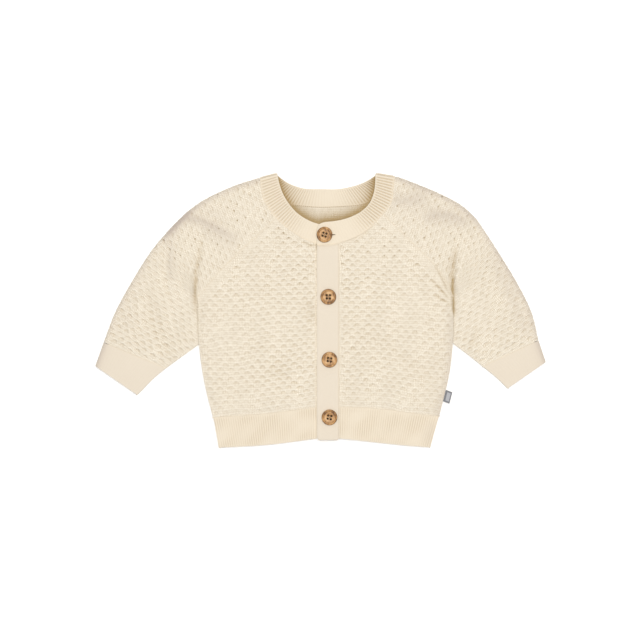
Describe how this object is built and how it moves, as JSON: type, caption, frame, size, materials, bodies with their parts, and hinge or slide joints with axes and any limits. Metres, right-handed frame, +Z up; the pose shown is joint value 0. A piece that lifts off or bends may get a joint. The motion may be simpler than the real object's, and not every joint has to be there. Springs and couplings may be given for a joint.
{
  "type": "baby cardigan",
  "caption": "Round-neck raglan baby cardigan in honeycomb knit with ribbed neckband, cuffs and hem and wooden buttons, laid flat on its back and buttoned up.",
  "frame": {"origin": "on the surface that the cardigan lies on, under the middle of its whole outline", "axes": "+X towards the wearer's left, +Y from the hem to the neck, +Z up from the surface"},
  "size_m": [0.427, 0.2602, 0.0105],
  "materials": {
    "honeycomb_knit": "matt cream cotton, honeycomb tuck stitch",
    "rib_knit": "matt cream cotton, fine rib",
    "plain_knit": "matt cream cotton, fine plain knit",
    "button_wood": "satin varnished light wood",
    "label_cloth": "smooth woven grey tape"
  },
  "bodies": {
    "root": {"back": "honeycomb_knit", "front_right": "honeycomb_knit", "front_left": "honeycomb_knit", "sleeve_right": "honeycomb_knit", "sleeve_left": "honeycomb_knit", "hem_back": "rib_knit", "hem_front_right": "rib_knit", "hem_front_left": "rib_knit", "cuff_right": "rib_knit", "cuff_left": "rib_knit", "neckband": "rib_knit", "button_band": "plain_knit", "buttonhole_band": "plain_knit", "button_1": "button_wood", "button_2": "button_wood", "button_3": "button_wood", "button_4": "button_wood", "side_label": "label_cloth"}
  },
  "joints": []
}
